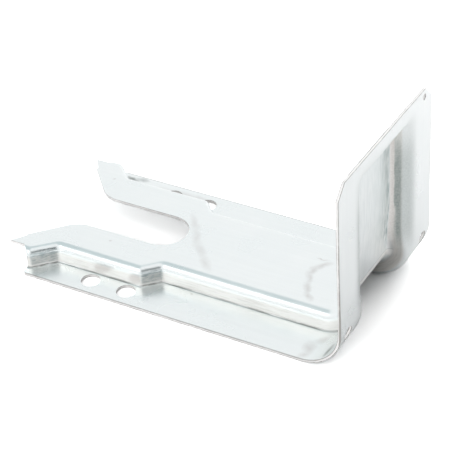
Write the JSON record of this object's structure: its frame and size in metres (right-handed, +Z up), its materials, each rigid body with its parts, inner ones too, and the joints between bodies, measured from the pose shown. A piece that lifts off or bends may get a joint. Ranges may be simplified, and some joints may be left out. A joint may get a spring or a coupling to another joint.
{
  "type": "stamped metal bracket",
  "caption": "Stamped sheet-steel floor and wall bracket with a raised slotted channel between two flat flanges that turn up into an upright end plate.",
  "frame": {"origin": "on the floor plane, in the middle of the overall length and width", "axes": "+X along the length from the forked end towards the end plate, +Y across the width, +Z up"},
  "size_m": [0.1454, 0.076, 0.0785],
  "materials": {
    "plated_sheet": "bright zinc plating on pressed steel sheet"
  },
  "bodies": {
    "root": {"bracket": "plated_sheet"}
  },
  "joints": []
}
